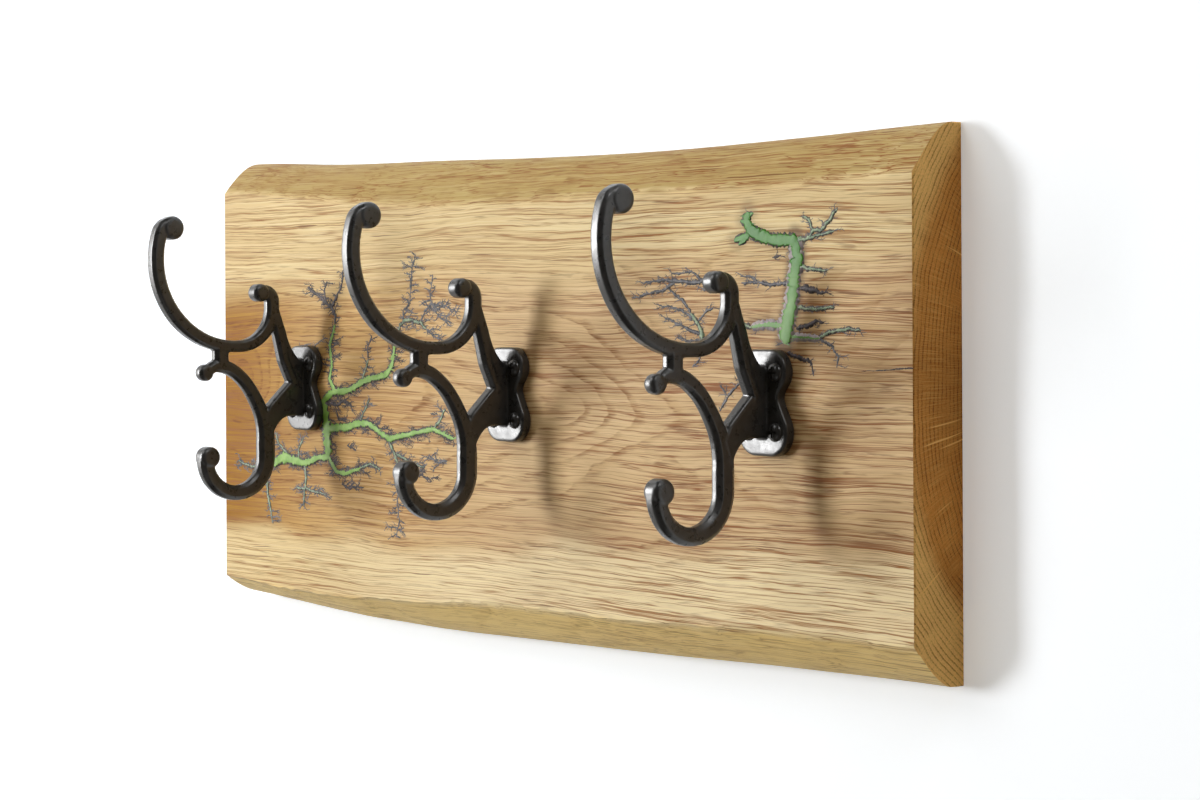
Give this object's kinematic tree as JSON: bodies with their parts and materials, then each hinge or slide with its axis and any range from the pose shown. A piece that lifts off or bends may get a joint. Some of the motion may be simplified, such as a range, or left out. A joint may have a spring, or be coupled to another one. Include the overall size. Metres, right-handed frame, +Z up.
{
  "type": "wall coat rack",
  "caption": "Live-edge oak wall board with a resin-filled lightning burn figure, carrying cast iron double hooks with knobbed scrolls on screwed lobed plates.",
  "frame": {"origin": "on the wall face, behind the middle of the board's length, at the height of the middles of the hook plates", "axes": "+X along the board to the right of someone who faces the rack, +Y into the wall, +Z up"},
  "size_m": [0.6, 0.1387, 0.2775],
  "materials": {
    "oak": "oiled satin",
    "resin": "gloss, sanded flush",
    "iron": "black gloss lacquer over a cast surface",
    "black_screw": "black",
    "zinc": "zinc plated"
  },
  "bodies": {
    "root": {"board": "oak", "inlay_left": "resin", "inlay_right": "resin", "hook_left": "iron", "hook_left_screw_1": "black_screw", "hook_left_screw_2": "black_screw", "hook_left_screw_3": "black_screw", "hook_left_screw_4": "black_screw", "hook_middle": "iron", "hook_middle_screw_1": "black_screw", "hook_middle_screw_2": "black_screw", "hook_middle_screw_3": "black_screw", "hook_middle_screw_4": "black_screw", "hook_right": "iron", "hook_right_screw_1": "black_screw", "hook_right_screw_2": "black_screw", "hook_right_screw_3": "black_screw", "hook_right_screw_4": "black_screw", "hanger_left": "zinc", "hanger_left_screw_upper": "zinc", "hanger_left_screw_lower": "zinc", "hanger_right": "zinc", "hanger_right_screw_upper": "zinc", "hanger_right_screw_lower": "zinc"}
  },
  "joints": []
}
